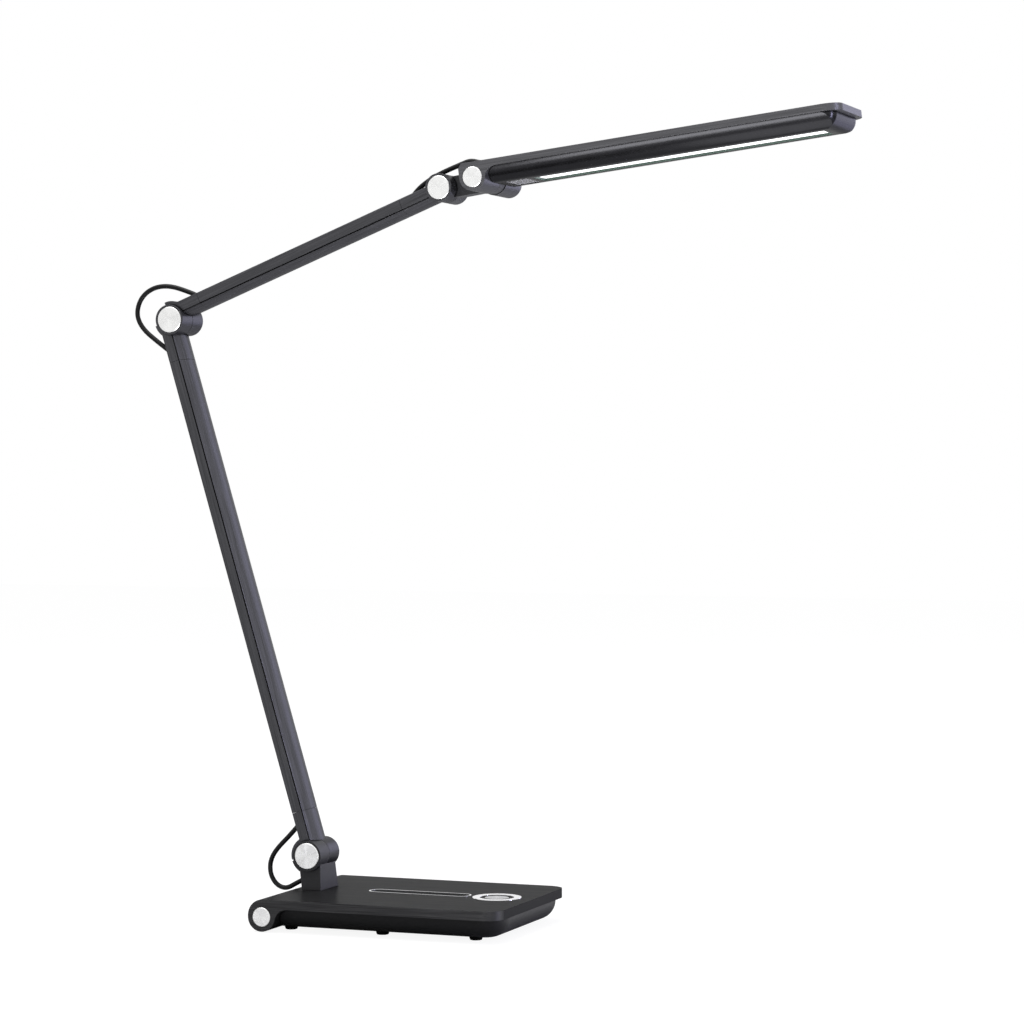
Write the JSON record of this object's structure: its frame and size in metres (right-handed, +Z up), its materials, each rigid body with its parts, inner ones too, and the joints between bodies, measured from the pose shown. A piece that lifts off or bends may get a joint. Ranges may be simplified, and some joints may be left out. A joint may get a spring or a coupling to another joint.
{
  "type": "led desk lamp",
  "caption": "Jointed LED desk lamp: flat weighted base with touch slider and power key, folding arm on split friction hinges, and a thin bar head with a lit diffuser below.",
  "frame": {"origin": "on the desk, under the middle of the lamp as it stands in the picture", "axes": "+Z up, +X forward towards the end of the lit head, +Y to the far side"},
  "size_m": [0.5409, 0.1394, 0.5689],
  "materials": {
    "dark_aluminium": "dark grey anodised, satin, faintly brushed",
    "spun_aluminium": "spun, bright",
    "bright_trim": "polished",
    "key_metal": "satin",
    "black_tray": "fine grain",
    "gloss_black": "piano gloss",
    "black_rubber": "matt",
    "cable_black": "soft sheath",
    "steel": "plain",
    "friction_washer": "plain",
    "circuit_board": "solder mask",
    "led_yellow": "clear coat",
    "diffuser_white": "opal, lit from inside",
    "grille_grey": "fine mesh"
  },
  "bodies": {
    "base": {"base_top_cover": "dark_aluminium", "base_end_caps": "spun_aluminium", "base_tray": "black_tray", "rubber_feet": "black_rubber", "tray_screws": "steel", "base_ballast": "steel", "slider_rim": "bright_trim", "slider_strip": "gloss_black", "key_ring": "bright_trim", "control_board": "circuit_board", "tact_switch": "circuit_board", "dc_jack": "black_tray", "hinge_post": "dark_aluminium", "post_screws": "steel", "base_hinge_pin": "steel", "base_hinge_nut": "steel", "base_hinge_washer": "friction_washer", "base_hinge_near_cap": "spun_aluminium", "base_cable_loop": "cable_black"},
    "power_key": {"power_key": "key_metal"},
    "lower_arm": {"lower_arm_base_knuckle": "dark_aluminium", "lower_arm_elbow_knuckle": "dark_aluminium", "lower_arm_channel": "dark_aluminium", "lower_arm_cover": "dark_aluminium", "lower_arm_lead": "cable_black", "base_hinge_far_cap": "spun_aluminium", "elbow_hinge_pin": "steel", "elbow_hinge_nut": "steel", "elbow_hinge_washer": "friction_washer", "elbow_hinge_near_cap": "spun_aluminium", "elbow_cable_loop": "cable_black"},
    "upper_arm": {"upper_arm_elbow_knuckle": "dark_aluminium", "upper_arm_wrist_knuckle": "dark_aluminium", "upper_arm_channel": "dark_aluminium", "upper_arm_cover": "dark_aluminium", "upper_arm_lead": "cable_black", "elbow_hinge_far_cap": "spun_aluminium", "wrist_hinge_pin": "steel", "wrist_hinge_nut": "steel", "wrist_hinge_washer": "friction_washer", "wrist_hinge_near_cap": "spun_aluminium", "wrist_cable_rear": "cable_black"},
    "link": {"wrist_link": "gloss_black", "wrist_hinge_far_cap": "spun_aluminium", "wrist_cable_front": "cable_black"},
    "head": {"head_top_cover": "dark_aluminium", "head_housing": "gloss_black", "diffuser": "diffuser_white", "led_board": "circuit_board", "leds": "led_yellow", "vent_grille": "grille_grey", "head_hinge_pin": "steel", "head_hinge_washers": "friction_washer", "head_end_caps": "spun_aluminium"}
  },
  "joints": [
    {"name": "base_tilt", "type": "hinge", "parent": "base", "child": "lower_arm", "pos_m": [-0.13713, 0, 0.0478], "axis": [0, 1, 0], "range_deg": [-3.5, 90], "deforming": ["base_cable_loop"]},
    {"name": "elbow", "type": "hinge", "parent": "lower_arm", "child": "upper_arm", "pos_m": [-0.24605, 0, 0.43269], "axis": [0, -1, 0], "range_deg": [-55, 80], "deforming": ["elbow_cable_loop"]},
    {"name": "wrist", "type": "hinge", "parent": "upper_arm", "child": "link", "pos_m": [-0.03525, 0, 0.52216], "axis": [0, -1, 0], "range_deg": [-30, 50], "deforming": ["wrist_cable_rear"]},
    {"name": "head_tilt", "type": "hinge", "parent": "link", "child": "head", "pos_m": [-0.00209, 0, 0.52694], "axis": [0, 1, 0], "range_deg": [-10, 75], "deforming": ["wrist_cable_front"]},
    {"name": "key_press", "type": "slide", "parent": "base", "child": "power_key", "axis": [0, 0, -1], "range_m": [0, 0.0006], "stiffness_N_per_m": 2000, "springref_m": -0.0003}
  ]
}
